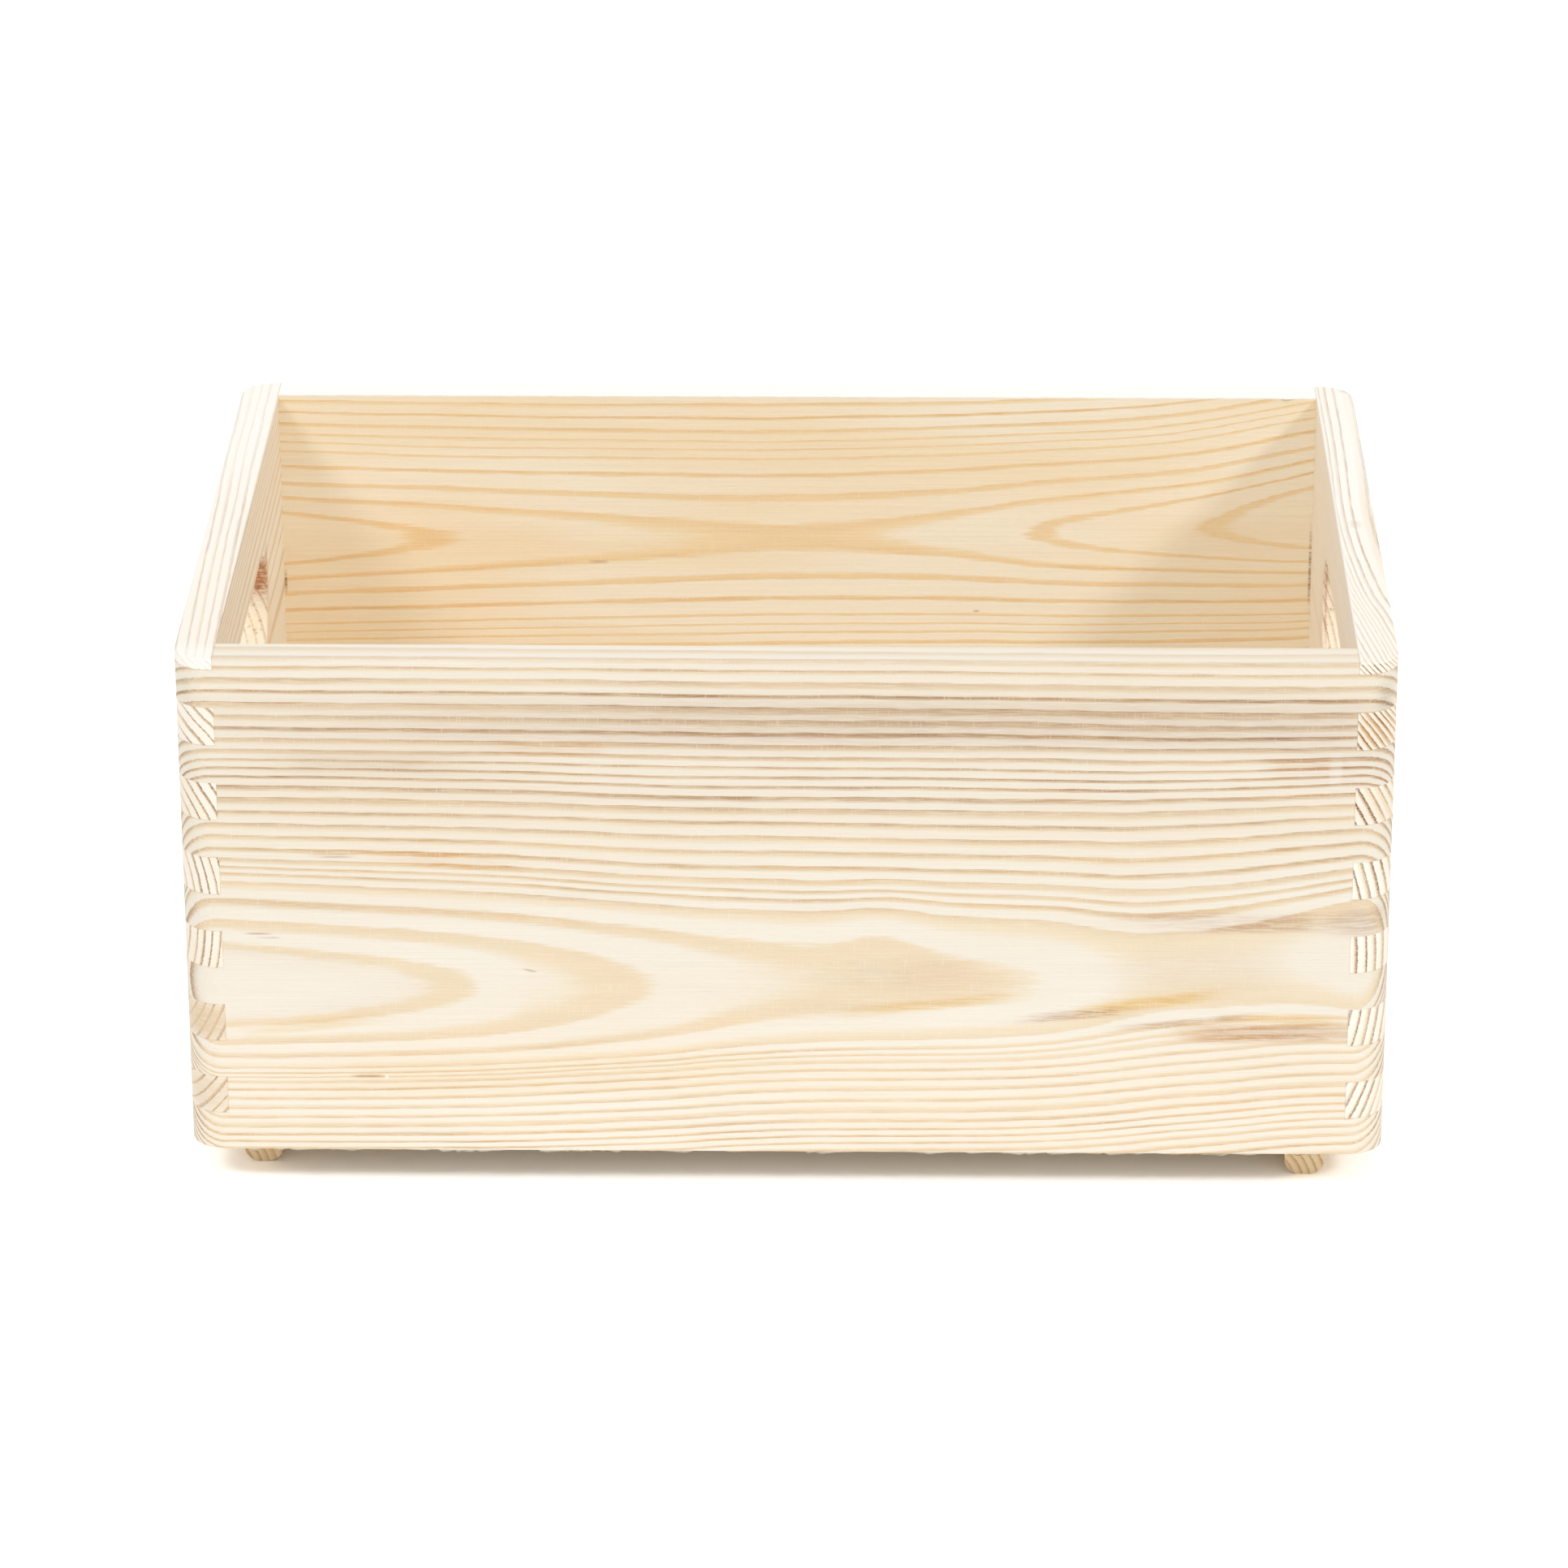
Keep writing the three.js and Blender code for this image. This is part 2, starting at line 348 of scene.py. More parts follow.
@dataclass
class Board:
    """How one board was cut from its tree, and its colours.

    face is where the side nearest the pith lies and inward the way from there into the board.
    heart is the pith's height, reach its distance from that face, and distance and heights how
    both change along the grain; the change fades above and below the heart over fade. rings gives
    the ring count by radius, lean how far the rings tilt with depth by height over the heart, and
    tight_below how much closer they lie below it. A knot is (along, depth's axis, height, length,
    width, push): it pushes the radius by push around that place.

    early, late, edge and gold are the colours of early wood, late wood, a ring's dark edge and
    its golden edge, and golden is the share of golden edges by height. late_from is the share of
    each ring at which its late wood begins, and edge_from the same for its dark edge. contrast is
    the strength of the edges by height along the grain, end_contrast the same across it,
    near_contrast its share on the face nearest the pith, and late_strength the late wood's own by
    height. bounce_light_by_height is painted light that shades the whole board by height: on the
    front wall it is lighter low down, where the white floor's bounce falls. mottle is its broad
    mixing of late colour into early wood, and rim_highlight how far its upper rim is whitened
    towards chalk, partly the chalky sawn top and partly a painted highlight where the top catches
    the light.
    """

    grain: str
    face: float
    inward: int
    heart: float
    reach: float
    fade: float
    distance: list
    heights: list
    rings: list
    contrast: list
    early: tuple
    late: tuple
    edge: tuple
    gold: tuple
    seed: float
    late_strength: list = field(default_factory=lambda: [(0, 1.0), (144, 1.0)])
    bounce_light_by_height: list = field(default_factory=lambda: [(0, 1.0), (144, 1.0)])
    late_from: list = field(default_factory=lambda: [(-20, 0.50), (20, 0.42), (80, 0.50)])
    edge_from: float = 0.62
    golden: list = field(default_factory=lambda: [(0, 0.4), (144, 0.5)])
    end_contrast: list = field(default_factory=lambda: [(0, 0.95), (144, 0.95)])
    near_contrast: float = 1.0
    lean: list = field(default_factory=lambda: [(-150, 0.0), (150, 0.0)])
    tight_below: float = 0.0
    mottle: float = 0.22
    rim_highlight: float = 0.2
    marks: list = field(default_factory=list)
    knots: list = field(default_factory=list)


# Noises of pine: sizes along the grain, up the board and into it.
SWAY = Grain((85, 17, 14), 0)
RIPPLE = Grain((26, 5, 5), 5)
FIBRE = Grain((11, 0.55, 0.55), 9, detail=3.0)
PATCHES = Grain((38, 9, 9), 2)
DASHES = Grain((7, 0.32, 0.32), 21, detail=3.0, roughness=0.6)
BREADTH = Grain((120, 22, 16), 31)
TINT = Grain((55, 7, 7), 44, detail=3.0)
SCRATCHES = Grain((9, 0.5, 3), 55, detail=3.0, roughness=0.65)
CHATTER = Grain((0.42, 6, 6), 61, detail=3.0, roughness=0.6)
STREAKS = Grain((34, 0.40, 0.40), 71, detail=3.0, roughness=0.6)
FUZZ = Grain((2.4, 0.22, 0.22), 83, roughness=0.6)
PORES = Grain((5.5, 0.26, 0.26), 90)
SPLITS = Grain((3.2, 1.1, 1.1), 97, detail=3.0)

# How far the rings stray, in millimetres or in rings.
SWAY_REACH = 0.65
SWAY_OUTWARD = 0.4
RIPPLE_REACH = 0.16
FIBRE_REACH = 0.11
# The pith's height changes along the board below the first of these heights over it, and not
# above the second. The rings under it draw closer from the second of the next two to the first.
HEART_FADE = (20, 70)
TIGHT_FADE = (-30, -8)

# One ring runs from the start of its early wood, 0, to the end of its late wood, 1.
LAST_RING_FADES = 0.11
EDGE_FULL = 0.96
LATE_JITTER = 0.12
EDGE_JITTER = 0.30
FAR_RINGS = (3, 7)
FAR_RING_JITTER = 0.30
SECOND_LUCK = 0.37
LATE_COVER = 0.88
LATE_DENSITY = 0.6
EDGE_LEAST = 0.50
EDGE_LUCK = 0.80
GOLD_JITTER = 0.35
CUT_SPAN = (0.35, 0.90)
NEAR_SKIN = 1.4
MARK_SKIN = 6.0
# A streaky mark breaks up over this share of the scratches, below and above their middle.
TORN_BELOW = 0.18
TORN_ABOVE = 0.10
TORN_LEAST = 0.01

# Noises turned into amounts: where each starts and ends, and what it gives before and after.
WORN_DASHES = (0.34, 0.58, 0.42, 1.0)
PATCH_SHARES = (0.25, 0.75, 0.75, 1.25)
MOTTLE_SPAN = (0.35, 0.65, 0.0)
TINT_SPAN = (0.3, 0.7)
STREAK_SHADES = (0.25, 0.75, 0.955, 1.035)
FUZZ_SHADES = (0.2, 0.8, 0.975, 1.02)
PORE_SPAN = (0.66, 0.76)
TICK_SPAN = (0.56, 0.72)
SPLIT_SPAN = (0.42, 0.62)

# Pine's finish.
PORE_COLOUR = tone(206, 166, 118)
PORE_COVER = 0.16
WORN_COLOUR = tone(222, 190, 148)
WORN_COVER = 0.30
WORN_RADIUS = 0.8
TICK_COVER = 0.45
# Heights of the upper rim, which a painted highlight whitens where the top catches the light.
RIM_HIGHLIGHT_SPAN = (143.4, 143.9)
PINE_RELIEF = 0.07
PINE_ROUGHNESS = 0.66

# The rails, by the middle of each across the crate, and half their thickness.
LEFT_RAIL_X = -133
RIGHT_RAIL_X = 131
RAIL_HALF = 5

# Colours of the marks.
LILAC = tone(228, 217, 209)
GREY_BROWN = tone(190, 166, 142)
BROWN = tone(184, 134, 90)
# Dark brown for dark joint lines, and for the painted shade of a chip.
UMBER_AND_SHADE = tone(128, 82, 48)
ORANGE = tone(236, 194, 136)
TAN = tone(222, 197, 162)
STRAW = tone(246, 228, 196)
# Chalky white for pale streaks and spots, and for the painted highlight on the upper rims.
CHALK_AND_HIGHLIGHT = tone(255, 252, 246)
CREAM = tone(244, 236, 221)
GOLDEN = tone(244, 216, 150)
# A warm colour painted as shade on the inside of the rear wall.
WARM_SHADE = tone(255, 238, 212)
# Grey for the front wall's ends by the corners.
CORNER_GREY = tone(196, 194, 184)
RUST = tone(200, 124, 66)
IVORY = tone(251, 248, 244)

# The boards' early and late colours differ partly as real boards do and partly as painted light: the
# front wall's are set darker where the lamps light it most, the rear and end walls' lighter for the
# dimmer inside of the crate.
FRONT_WALL = Board(
    grain="X", face=-100, inward=1, heart=57.3, reach=14, fade=75,
    distance=[(-150, 14.2), (-140, 14.8), (-80, 18.7), (-36, 23.3), (0, 26.2), (60, 27.8),
              (100, 30.3), (150, 27)],
    heights=[(-150, 56.5), (-40, 56.5), (0, 58), (60, 58.5), (100, 61), (140, 65), (150, 65.5)],
    rings=[(0, -6), (13, -1.0), (18.7, 0), (23.3, 1), (27.7, 2), (31.7, 3), (37.3, 6),
           (46.1, 9), (55.3, 12), (64.7, 16), (86.1, 23), (110, 31)],
    contrast=[(11, 0.62), (36, 0.50), (48, 0.18), (66, 0.16), (78, 0.51), (92, 0.65),
              (112, 0.68), (131, 0.71), (138, 0.71), (144, 0.78)],
    early=tone(244, 236, 221), late=tone(241, 223, 192), edge=tone(172, 136, 106),
    gold=tone(222, 182, 128), seed=3.1,
    late_strength=[(11, 0.74), (36, 0.80), (48, 1.0), (144, 1.0)],
    bounce_light_by_height=[(11, 1.0), (34, 0.99), (58, 0.95), (144, 0.947)],
    late_from=[(-6, 0.6), (-1, 0.82), (0, 0.50), (1, 0.64), (2, 0.34), (3, 0.50), (7, 0.42),
               (12, 0.48), (31, 0.44)],
    edge_from=0.55,
    golden=[(11, 0.85), (60, 0.85), (92, 0.55), (118, 0.25), (134, 0.30), (144, 0.7)],
    lean=[(-100, -0.8), (-25, -0.8), (0, 0.0), (25, 0.8), (45, 0.8), (64, 0.45), (100, 0.35)],
    tight_below=0.28, rim_highlight=0.2,
    marks=[
        Mark(30, 120, 110, 22, IVORY, 0.60, streaks=0.0),
        Mark(-104, 119, 42, 20, IVORY, 0.85, streaks=0.0),
        Mark(35, 127.5, 150, 7.0, LILAC, 0.60, streaks=0.3),
        Mark(60, 129, 105, 7.5, GREY_BROWN, 0.34, streaks=0.5, rings=0.9),
        Mark(-103, 116.5, 22, 3.0, LILAC, 0.60, streaks=0.4, rings=0.3),
        Mark(136, 116, 17, 4.5, BROWN, 0.50, streaks=0.5, rings=0.8),
        Mark(-57, 120.5, 13, 1.6, ORANGE, 0.75, streaks=0.8, rings=0.7),
        Mark(-84, 90.5, 18, 2.0, ORANGE, 0.70, slope=-0.07, streaks=0.7, rings=0.7),
        Mark(-112, 91.6, 5, 0.6, BROWN, 0.45, streaks=0.8),
        Mark(128, 117.0, 9, 1.6, ORANGE, 0.55, streaks=0.6, rings=0.6),
        Mark(112, 74.6, 24, 2.6, BROWN, 0.55, streaks=0.7, rings=0.6),
        Mark(146, 75, 11, 3.8, BROWN, 0.45, streaks=0.6),
        Mark(72, 49.2, 12, 1.3, BROWN, 0.55, slope=0.10, streaks=0.9),
        Mark(90, 52.6, 17, 1.7, GOLDEN, 0.80, slope=0.15, streaks=0.5),
        Mark(100, 47.4, 16, 0.9, BROWN, 0.50, slope=0.11, streaks=0.8),
        Mark(120, 44.6, 22, 2.6, ORANGE, 0.55, slope=0.02, streaks=0.4),
        Mark(122, 44.4, 20, 2.3, BROWN, 0.50, slope=0.02, streaks=0.7),
        Mark(124, 48.4, 14, 1.3, GOLDEN, 0.60, slope=-0.02, streaks=0.5),
        Mark(124, 44.8, 17, 0.7, CREAM, 0.60, slope=0.02, streaks=0.8, pale=True),
        Mark(36, 51.8, 22, 1.5, GOLDEN, 0.60, slope=0.108, streaks=0.4),
        Mark(-60, 32, 60, 5.5, GOLDEN, 0.22, slope=0.03, streaks=0.6),
        Mark(-118, 45.5, 16, 1.6, GOLDEN, 0.40, slope=0.12, streaks=0.4),
        Mark(104, 61, 20, 6.5, LILAC, 0.26, streaks=0.4),
        Mark(30, 60, 18, 4.5, LILAC, 0.30, streaks=0.5),
        Mark(135, 64.5, 11, 4.5, CREAM, 0.60, streaks=0.3, pale=True),
        # Greyer at both ends of the wall's upper finger, by the corners.
        Mark(149, 134, 4, 5.0, CORNER_GREY, 0.60, streaks=0.4),
        Mark(-149, 134, 3, 4.0, CORNER_GREY, 0.55, streaks=0.4, rings=0.8),
        Mark(135, 115.5, 1.6, 4.0, CHALK_AND_HIGHLIGHT, 0.35, streaks=0.9, pale=True),
        Mark(-131, 70.4, 3.0, 0.30, BROWN, 0.55, streaks=0.5),
        Mark(-128.5, 69.3, 2.6, 0.25, BROWN, 0.45, streaks=0.5),
        Mark(-63.6, 60.7, 1.5, 0.28, BROWN, 0.50, slope=-0.2, streaks=0.2),
        Mark(-104.5, 31.4, 4.0, 0.4, BROWN, 0.55, streaks=0.3),
        Mark(-100, 31.2, 0.5, 0.5, CHALK_AND_HIGHLIGHT, 0.60, streaks=0.0, pale=True),
    ],
    knots=[(24, -100, 72, 12, 20, -1.3), (-66, -100, 56, 7, 12, 0.9)],
)

REAR_WALL = Board(
    grain="X", face=90, inward=-1, heart=103, reach=20, fade=70,
    distance=[(-150, 19.5), (-108, 21.1), (-24, 23.0), (0, 23.25), (26, 23.0), (74, 21.1),
              (112, 19.8), (150, 18.2)],
    heights=[(-150, 102.5), (0, 103.5), (69, 105), (113, 106.5), (150, 109)],
    rings=[(0, -9), (19.4, -1), (21.4, 0), (23.45, 1), (26.0, 2), (29.3, 3), (32.3, 4),
           (36.1, 6), (44.5, 9), (95, 26), (110, 31)],
    contrast=[(11, 0.44), (80, 0.40), (95, 0.30), (103, 0.15), (118, 0.34), (144, 0.46)],
    early=tone(255, 248, 230), late=tone(251, 228, 185), edge=tone(222, 170, 108),
    gold=tone(238, 192, 126), seed=17.4,
    late_from=[(-9, 0.86), (-1, 0.82), (0, 0.68), (1, 0.76), (2, 0.80), (6, 0.72), (26, 0.66)],
    edge_from=0.80, mottle=0.5, rim_highlight=1.0,
    marks=[
        # Painted warm shade on the rear wall's inside, at its left and lower right, where the end
        # walls cast their shadows.
        Mark(-112, 92, 45, 24, WARM_SHADE, 0.50, streaks=0.0),
        Mark(118, 84, 38, 18, WARM_SHADE, 0.22, streaks=0.0),
        Mark(49, 82, 0.8, 0.3, BROWN, 0.6, streaks=0.1),
        Mark(-54, 96, 2.4, 0.5, BROWN, 0.4, streaks=0.3),
        Mark(-139.6, 90, 0.35, 3, UMBER_AND_SHADE, 0.7, streaks=0.9),
        Mark(139.6, 95, 0.35, 10, UMBER_AND_SHADE, 0.7, streaks=1.0),
        Mark(134.8, 144, 3.2, 2.0, ORANGE, 0.9, streaks=0.2, inside=(-4.5, 2.5)),
    ],
    knots=[(150, 90, 158, 38, 20, -7.0)],
)

LEFT_END_WALL = Board(
    grain="Y", face=-150, inward=1, heart=74, reach=54, fade=90,
    distance=[(-100, 52), (0, 55), (100, 57)],
    heights=[(-100, 74), (0, 72), (100, 76)],
    rings=[(0, 0), (50, 20), (64, 27), (80, 33.5), (88, 37), (95, 41.5), (130, 56)],
    contrast=[(11, 0.22), (60, 0.22), (100, 0.20), (138, 0.22), (144, 0.58)],
    early=tone(249, 241, 228), late=tone(240, 219, 184), edge=tone(138, 98, 66),
    gold=tone(196, 152, 104), seed=29.8,
    late_from=[(-20, 0.70), (80, 0.70)], edge_from=0.74, rim_highlight=0.40,
    end_contrast=[(11, 0.85), (144, 0.85)],
    marks=[
        Mark(-100, 46, 9, 5.4, TAN, 0.90, streaks=0.2, inside=(5, 9), pale=True),
        Mark(-100, 26, 9, 5.4, TAN, 0.58, streaks=0.2, inside=(5, 9), pale=True),
        Mark(-100, 142.6, 9, 2.0, CHALK_AND_HIGHLIGHT, 0.92, streaks=0.1, inside=(5, 9), pale=True),
        # Painted highlight along the rim's rear half.
        Mark(80, 144, 60, 2.0, CHALK_AND_HIGHLIGHT, 0.60, streaks=0.1, inside=(5, 9), pale=True),
        Mark(43, 99, 9, 12, STRAW, 0.80, streaks=0.4, inside=(5, 9), pale=True),
        Mark(41.5, 111, 3.6, 7, RUST, 1.00, streaks=0.9, inside=(8, 5), pale=True),
    ],
)

RIGHT_END_WALL = Board(
    grain="Y", face=140, inward=1, heart=63, reach=110, fade=120,
    distance=[(-100, 93), (-72, 100), (-40, 107.5), (0, 111), (40, 110.5), (100, 111)],
    heights=[(-100, 63), (0, 66), (100, 64)],
    rings=[(0, 0), (100, 34), (118, 42), (132, 53), (141, 61), (147, 62.6), (170, 76)],
    contrast=[(11, 0.35), (60, 0.35), (100, 0.35), (136, 0.40), (144, 0.74)],
    early=tone(253, 246, 234), late=tone(246, 228, 198), edge=tone(122, 76, 46),
    gold=tone(190, 140, 92), seed=41.5,
    end_contrast=[(11, 0.62), (50, 0.74), (66, 0.84), (110, 0.95), (144, 0.95)],
    edge_from=0.66, near_contrast=0.15, rim_highlight=0.40,
    marks=[
        Mark(-100, 126, 9, 5.4, TAN, 1.00, streaks=0.2, rings=0.7, inside=(5, 9)),
        Mark(-100, 106, 9, 5.4, TAN, 0.20, streaks=0.2, inside=(5, 9)),
        # Painted highlight along the rim's rear half.
        Mark(80, 144, 60, 2.0, CHALK_AND_HIGHLIGHT, 0.45, streaks=0.1, inside=(8, 4), pale=True),
        Mark(43, 102, 9, 13, STRAW, 0.60, streaks=0.4, inside=(5, 9), pale=True),
        Mark(43, 104, 9, 15, RUST, 0.54, streaks=0.4, inside=(1.0, 0.35)),
        Mark(43, 104, 9, 15, RUST, 0.72, streaks=0.4, inside=(5.6, 0.35)),
        Mark(-5, 144, 2.6, 2.0, GREY_BROWN, 0.45, streaks=0.3, inside=(4.6, 1.5)),
        # Painted shade of a small chip at the rim's rear outer corner.
        Mark(97, 144, 2.5, 2.0, UMBER_AND_SHADE, 0.70, streaks=0.4, inside=(9, 2)),
    ],
)


def wood_axes(s, board, x, y, z):
    """Along the grain, up the board, and into the board from the face nearest the pith."""
    along, level = (x, y) if board.grain == "X" else (y, x)
    depth = s.times(s.less(level, board.face), board.inward)
    return along, z, depth


def growth(s, board, along, up, depth):
    """How many growth rings lie between the pith and each point."""
    axes = (along, up, depth)
    sway = s.wander(SWAY, axes, board.seed, SWAY_REACH)
    ripple = s.wander(RIPPLE, axes, board.seed, RIPPLE_REACH)
    rise = s.less(up, board.heart)
    calm = s.bell(rise, board.fade)
    lower = s.span(rise, *HEART_FADE, 1.0, 0.0, smooth=False)
    shift = s.times(s.less(s.curve(along, board.heights), board.heart), lower)
    bend = s.less(s.square(s.curve(along, board.distance)), board.reach ** 2)
    reach = s.math("SQRT", s.math("MULTIPLY_ADD", bend, calm, board.reach ** 2))
    across = s.add(s.less(rise, shift), sway, ripple)
    across = s.times(across, s.span(across, *TIGHT_FADE, 1 + board.tight_below, 1.0))
    across = s.add(across, s.times(s.curve(across, board.lean), depth))
    outward = s.add(reach, depth, s.times(sway, SWAY_OUTWARD))
    radius = s.math("SQRT", s.add(s.square(across), s.square(outward)))
    for place, level, height, length, width, push in board.knots:
        side = s.math("MULTIPLY_ADD", depth, board.inward, board.face)
        near = s.times(
            s.bell(s.less(along, place), length),
            s.bell(s.less(side, level), width),
            s.bell(s.less(up, height), length),
        )
        radius = s.add(radius, s.times(near, push))
    return s.add(s.curve(radius, board.rings), s.wander(FIBRE, axes, board.seed, FIBRE_REACH))


def end_grain(s, board):
    """1 where the surface cuts across the fibres, 0 where it runs with them."""
    normal = s.node("ShaderNodeTexCoord").outputs["Normal"]
    parts = s.node("ShaderNodeSeparateXYZ")
    s.put(parts.inputs[0], normal)
    facing = s.math("ABSOLUTE", parts.outputs[board.grain])
    return s.span(facing, *CUT_SPAN)


def ring_colour(s, board, along, up, depth, cut):
    """Colour of clean wood, how dense it is, and how much of it is late wood, both 0 to 1."""
    axes = (along, up, depth)
    passed = growth(s, board, along, up, depth)
    ring = s.math("FLOOR", passed)
    share = s.math("FRACT", passed)
    luck = s.chance(ring, board.seed)
    other = s.chance(ring, board.seed + SECOND_LUCK)
    fresh = s.span(share, 0.0, LAST_RING_FADES, 1.0, 0.0)
    late_from = s.less(s.curve(ring, board.late_from), LATE_JITTER / 2)
    start = s.math("MULTIPLY_ADD", other, LATE_JITTER, late_from)
    start = s.add(start, s.times(s.less(luck, 0.5), s.span(ring, *FAR_RINGS, 0.0, FAR_RING_JITTER)))
    full = s.blend_number(0.5, start, 1.0)
    near = s.span(s.math("ABSOLUTE", depth), 0.0, NEAR_SKIN, board.near_contrast, 1.0)
    late = s.math("MAXIMUM", s.span(share, start, full), fresh)
    late = s.times(late, near, s.curve(up, board.late_strength))
    first = s.math("MULTIPLY_ADD", other, EDGE_JITTER, board.edge_from - EDGE_JITTER / 2)
    edge = s.math("MAXIMUM", s.span(share, first, EDGE_FULL), fresh)
    worn = s.span(s.noise(DASHES, axes, board.seed), *WORN_DASHES)
    patches = s.span(s.noise(PATCHES, axes, board.seed), *PATCH_SHARES)
    side_grain = s.times(s.curve(up, board.contrast), patches, near)
    strength = s.times(s.blend_number(cut, side_grain, s.curve(up, board.end_contrast)), worn)
    dark = s.times(edge, strength, s.math("MULTIPLY_ADD", luck, EDGE_LUCK, EDGE_LEAST))
    mottle = s.span(s.noise(BREADTH, axes, board.seed), *MOTTLE_SPAN, board.mottle)
    early = s.blend(mottle, board.early, board.late)
    body = s.blend(s.times(late, LATE_COVER), early, board.late)
    tint = s.noise(TINT, axes, board.seed)
    tint = s.span(tint, *TINT_SPAN, -GOLD_JITTER, GOLD_JITTER, smooth=False)
    golden = s.add(s.curve(up, board.golden), tint)
    line = s.blend(s.times(golden, s.less(1.0, cut)), board.edge, board.gold)
    return s.blend(dark, body, line), s.math("MAXIMUM", s.times(late, LATE_DENSITY), dark), late


def skin_marks(s, board, colour, late, axes):
    """The colour with the board's marks laid over it, and how rough they leave it."""
    along, up, depth = axes
    skin = s.span(s.math("ABSOLUTE", depth), 0.0, MARK_SKIN, 1.0, 0.0)
    scratch = s.noise(SCRATCHES, axes, board.seed)
    rough = 0.0
    for mark in board.marks:
        shifted = s.less(along, mark.along)
        centre = s.math("MULTIPLY_ADD", shifted, mark.slope, mark.height)
        length = s.square(s.math("DIVIDE", shifted, mark.length))
        width = s.square(s.math("DIVIDE", s.less(up, centre), mark.width))
        reach = s.times(s.bell(length, 1.0), s.bell(width, 1.0), mark.strength)
        if mark.inside:
            reach = s.times(reach, s.bell(s.less(depth, mark.inside[0]), mark.inside[1]))
        else:
            reach = s.times(reach, skin)
        torn_from = 0.5 - TORN_BELOW * mark.streaks
        torn_to = 0.5 + TORN_ABOVE * mark.streaks + TORN_LEAST
        torn = s.span(scratch, torn_from, torn_to)
        cover = s.times(reach, s.blend_number(mark.streaks, 1.0, torn))
        if mark.rings:
            cover = s.times(cover, s.blend_number(mark.rings, 1.0, late))
        colour = s.blend(cover, colour, mark.colour, "MIX" if mark.pale else "MULTIPLY")
        rough = s.add(rough, s.times(cover, mark.streaks))
    return colour, rough


def pine(name, board):
    """Planed, unfinished pine."""
    s = Shader(name)
    x, y, z = s.place()
    along, up, depth = wood_axes(s, board, x, y, z)
    axes = (along, up, depth)
    cut = end_grain(s, board)
    colour, density, late = ring_colour(s, board, along, up, depth, cut)
    colour, rough_marks = skin_marks(s, board, colour, late, axes)
    streaks = s.noise(STREAKS, axes, board.seed)
    fuzz = s.noise(FUZZ, axes, board.seed)
    pores = s.span(s.noise(PORES, axes, board.seed), *PORE_SPAN)
    chatter = s.noise(CHATTER, axes, board.seed)
    colour = s.shade(colour, s.span(streaks, *STREAK_SHADES, smooth=False))
    colour = s.shade(colour, s.span(fuzz, *FUZZ_SHADES, smooth=False))
    # Painted light: the board shaded by height, lighter low down where the floor's bounce falls.
    colour = s.shade(colour, s.curve(up, board.bounce_light_by_height))
    colour = s.blend(s.times(pores, PORE_COVER), colour, PORE_COLOUR)
    ticks = s.times(s.span(chatter, *TICK_SPAN), s.less(1.0, cut), density, TICK_COVER)
    colour = s.blend(ticks, colour, board.early)
    # Painted highlight: the upper rim whitened towards chalk where the top catches the light, with
    # the chalky look of the sawn top.
    rim = s.times(s.span(up, *RIM_HIGHLIGHT_SPAN), board.rim_highlight)
    colour = s.blend(rim, colour, CHALK_AND_HIGHLIGHT)
    wear = s.worn_edge(WORN_RADIUS)
    torn = s.span(s.noise(SPLITS, axes, board.seed), *SPLIT_SPAN)
    colour = s.blend(s.times(wear, torn, WORN_COVER), colour, WORN_COLOUR)
    heights = (
        (density, 0.40),
        (streaks, 0.60),
        (fuzz, 0.35),
        (chatter, 0.12),
        (s.times(rough_marks, fuzz), 1.6),
        (s.times(wear, torn), 0.8),
    )
    s.relief(s.add(*(s.times(layer, share) for layer, share in heights)), PINE_RELIEF)
    changes = ((streaks, 0.16), (density, -0.12), (wear, 0.08))
    roughness = s.add(PINE_ROUGHNESS, *(s.times(layer, share) for layer, share in changes))
    return s.finish(colour, roughness)


def rail_board(centre, seed):
    """A rail ripped from a board: the pith lies low beside it, so its end shows arched rings."""
    return Board(
        grain="Y", face=centre - RAIL_HALF, inward=1, heart=-4, reach=9, fade=40,
        distance=[(-100, 8), (0, 10), (100, 9)],
        heights=[(-100, -4), (0, -3), (100, -5)],
        rings=[(0, 0), (10, 4), (20, 9), (40, 18)],
        contrast=[(0, 0.45), (16, 0.55)],
        early=tone(250, 226, 184), late=tone(236, 202, 154), edge=tone(192, 144, 98),
        gold=tone(216, 166, 110), seed=seed, edge_from=0.60, end_contrast=[(0, 0.60), (144, 0.60)],
    )


# Plywood's noises by x, y and z, its colours, and the place of its three layers.
PLY_SWEEP = Grain((130, 30, 9), 4.0, detail=3.0, roughness=0.55, distortion=0.6)
PLY_FINE = Grain((40, 0.8, 0.8), 7.0, detail=4.0, roughness=0.6)
PLY_FLECKS = Grain((4.0, 0.35, 0.35), 12.0)
PLY_SCUFFS = Grain((17, 13, 9), 19.0, detail=4.0, roughness=0.65)
PLY_LIGHT = tone(238, 214, 172)
PLY_DARK = tone(222, 190, 142)
PLY_FLECK = tone(170, 122, 80)
PLY_GLUE = tone(120, 82, 52)
PLY_BANDS = 9.0
PLY_LOW = 16.0
PLY_LAYER = 4.0 / 3.0
PLY_EDGE = 144.0
PLY_FLECK_SPAN = (0.64, 0.74)
PLY_GLUE_SPAN = (0.0, 0.10, 1.0, 0.0)
PLY_FLECK_COVER = 0.35
PLY_GLUE_COVER = 0.6
PLY_FINE_SHADES = (0.25, 0.75, 0.93, 1.05)
PLY_SCUFF_SHADES = (0.35, 0.65, 0.96, 1.03)
PLY_ROUGHNESS = 0.58
PLY_FINE_ROUGHNESS = 0.2
PLY_RELIEF = 0.06


